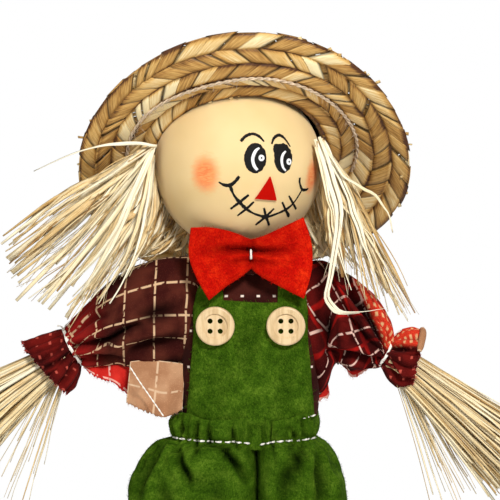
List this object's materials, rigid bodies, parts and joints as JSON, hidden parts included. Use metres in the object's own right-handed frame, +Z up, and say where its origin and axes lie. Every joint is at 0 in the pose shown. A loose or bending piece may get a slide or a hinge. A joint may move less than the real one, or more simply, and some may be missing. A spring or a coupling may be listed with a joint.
{
  "type": "scarecrow figure",
  "caption": "Cloth scarecrow on a wooden stake: foam head, braided straw hat, raffia hair and hands, checked shirt, felt bib overalls with wooden buttons, bow tie; poseable limbs.",
  "frame": {"origin": "centre of the wooden stake's lower end", "axes": "+Z up along the stake, the figure faces -Y, and its own left arm is on +X"},
  "size_m": [0.2563, 0.087, 0.389],
  "materials": {
    "stake_wood": "plain birch dowel",
    "white_thread": "cotton thread",
    "stuffing": "polyester fibre filling",
    "shirt_plaid": "printed check cotton, brown and dark red",
    "shirt_wrong_side": "paler wrong side of the printed cotton",
    "green_felt": "fuzzy felt, olive green",
    "red_felt": "felt, orange red",
    "button_wood": "satin turned wood",
    "foam": "moulded foam ball",
    "face_cloth": "fine stretched cloth, cream",
    "glue": "clear hot-melt glue",
    "straw": "flat plaited straw",
    "raffia": "split raffia strips"
  },
  "bodies": {
    "torso": {"stake": "stake_wood", "stake_tie": "white_thread", "torso_stuffing": "stuffing", "shirt_body": "shirt_plaid", "shirt_collar": "shirt_plaid", "shirt_tail_right": "shirt_wrong_side", "bib": "green_felt", "strap_right": "green_felt", "strap_left": "green_felt", "waistband": "green_felt", "waist_stitching": "white_thread", "button_right": "button_wood", "button_left": "button_wood", "bow_tie": "red_felt", "bow_stitch": "white_thread", "hip_stuffing": "stuffing", "trouser_seat": "green_felt"},
    "head": {"head_ball": "foam", "head_cover": "face_cloth", "neck_tie": "white_thread", "nose": "red_felt", "glue_bead": "glue", "hat_brim_edge": "straw", "hat_brim_inner": "straw", "hat_crown": "straw", "hair_right": "raffia", "hair_left": "raffia", "hair_back": "raffia"},
    "arm_right": {"arm_core_right": "raffia", "sleeve_right": "shirt_plaid", "wrist_tie_right": "white_thread"},
    "hand_right": {"hand_right": "raffia", "sleeve_cuff_right": "shirt_plaid"},
    "leg_right": {"leg_core_right": "raffia", "trouser_leg_right": "green_felt", "ankle_tie_right": "white_thread"},
    "foot_right": {"foot_right": "raffia", "trouser_cuff_right": "green_felt"},
    "arm_left": {"arm_core_left": "raffia", "sleeve_left": "shirt_plaid", "wrist_tie_left": "white_thread"},
    "hand_left": {"hand_left": "raffia", "sleeve_cuff_left": "shirt_plaid"},
    "leg_left": {"leg_core_left": "raffia", "trouser_leg_left": "green_felt", "ankle_tie_left": "white_thread"},
    "foot_left": {"foot_left": "raffia", "trouser_cuff_left": "green_felt"}
  },
  "joints": [
    {"name": "head_turn", "type": "hinge", "parent": "torso", "child": "head", "pos_m": [0, 0, 0.3], "axis": [0, 0, 1], "range_deg": [-30, 30]},
    {"name": "shoulder_right", "type": "hinge", "parent": "torso", "child": "arm_right", "pos_m": [-0.027, 0, 0.282], "axis": [0, 1, 0], "range_deg": [-10, 20]},
    {"name": "wrist_right", "type": "hinge", "parent": "arm_right", "child": "hand_right", "pos_m": [-0.0705, -0.001, 0.263], "axis": [0, 1, 0], "range_deg": [-15, 15]},
    {"name": "shoulder_left", "type": "hinge", "parent": "torso", "child": "arm_left", "pos_m": [0.027, 0, 0.281], "axis": [0, -1, 0], "range_deg": [-10, 20]},
    {"name": "wrist_left", "type": "hinge", "parent": "arm_left", "child": "hand_left", "pos_m": [0.053, -0.012, 0.263], "axis": [0, -1, 0], "range_deg": [-15, 15]},
    {"name": "hip_right", "type": "hinge", "parent": "torso", "child": "leg_right", "pos_m": [-0.0225, 0, 0.19], "axis": [-1, 0, 0], "range_deg": [-30, 30]},
    {"name": "ankle_right", "type": "hinge", "parent": "leg_right", "child": "foot_right", "pos_m": [-0.0205, 0, 0.114], "axis": [-1, 0, 0], "range_deg": [-20, 20]},
    {"name": "hip_left", "type": "hinge", "parent": "torso", "child": "leg_left", "pos_m": [0.02, 0, 0.19], "axis": [-1, 0, 0], "range_deg": [-30, 30]},
    {"name": "ankle_left", "type": "hinge", "parent": "leg_left", "child": "foot_left", "pos_m": [0.0185, 0, 0.114], "axis": [-1, 0, 0], "range_deg": [-20, 20]}
  ]
}
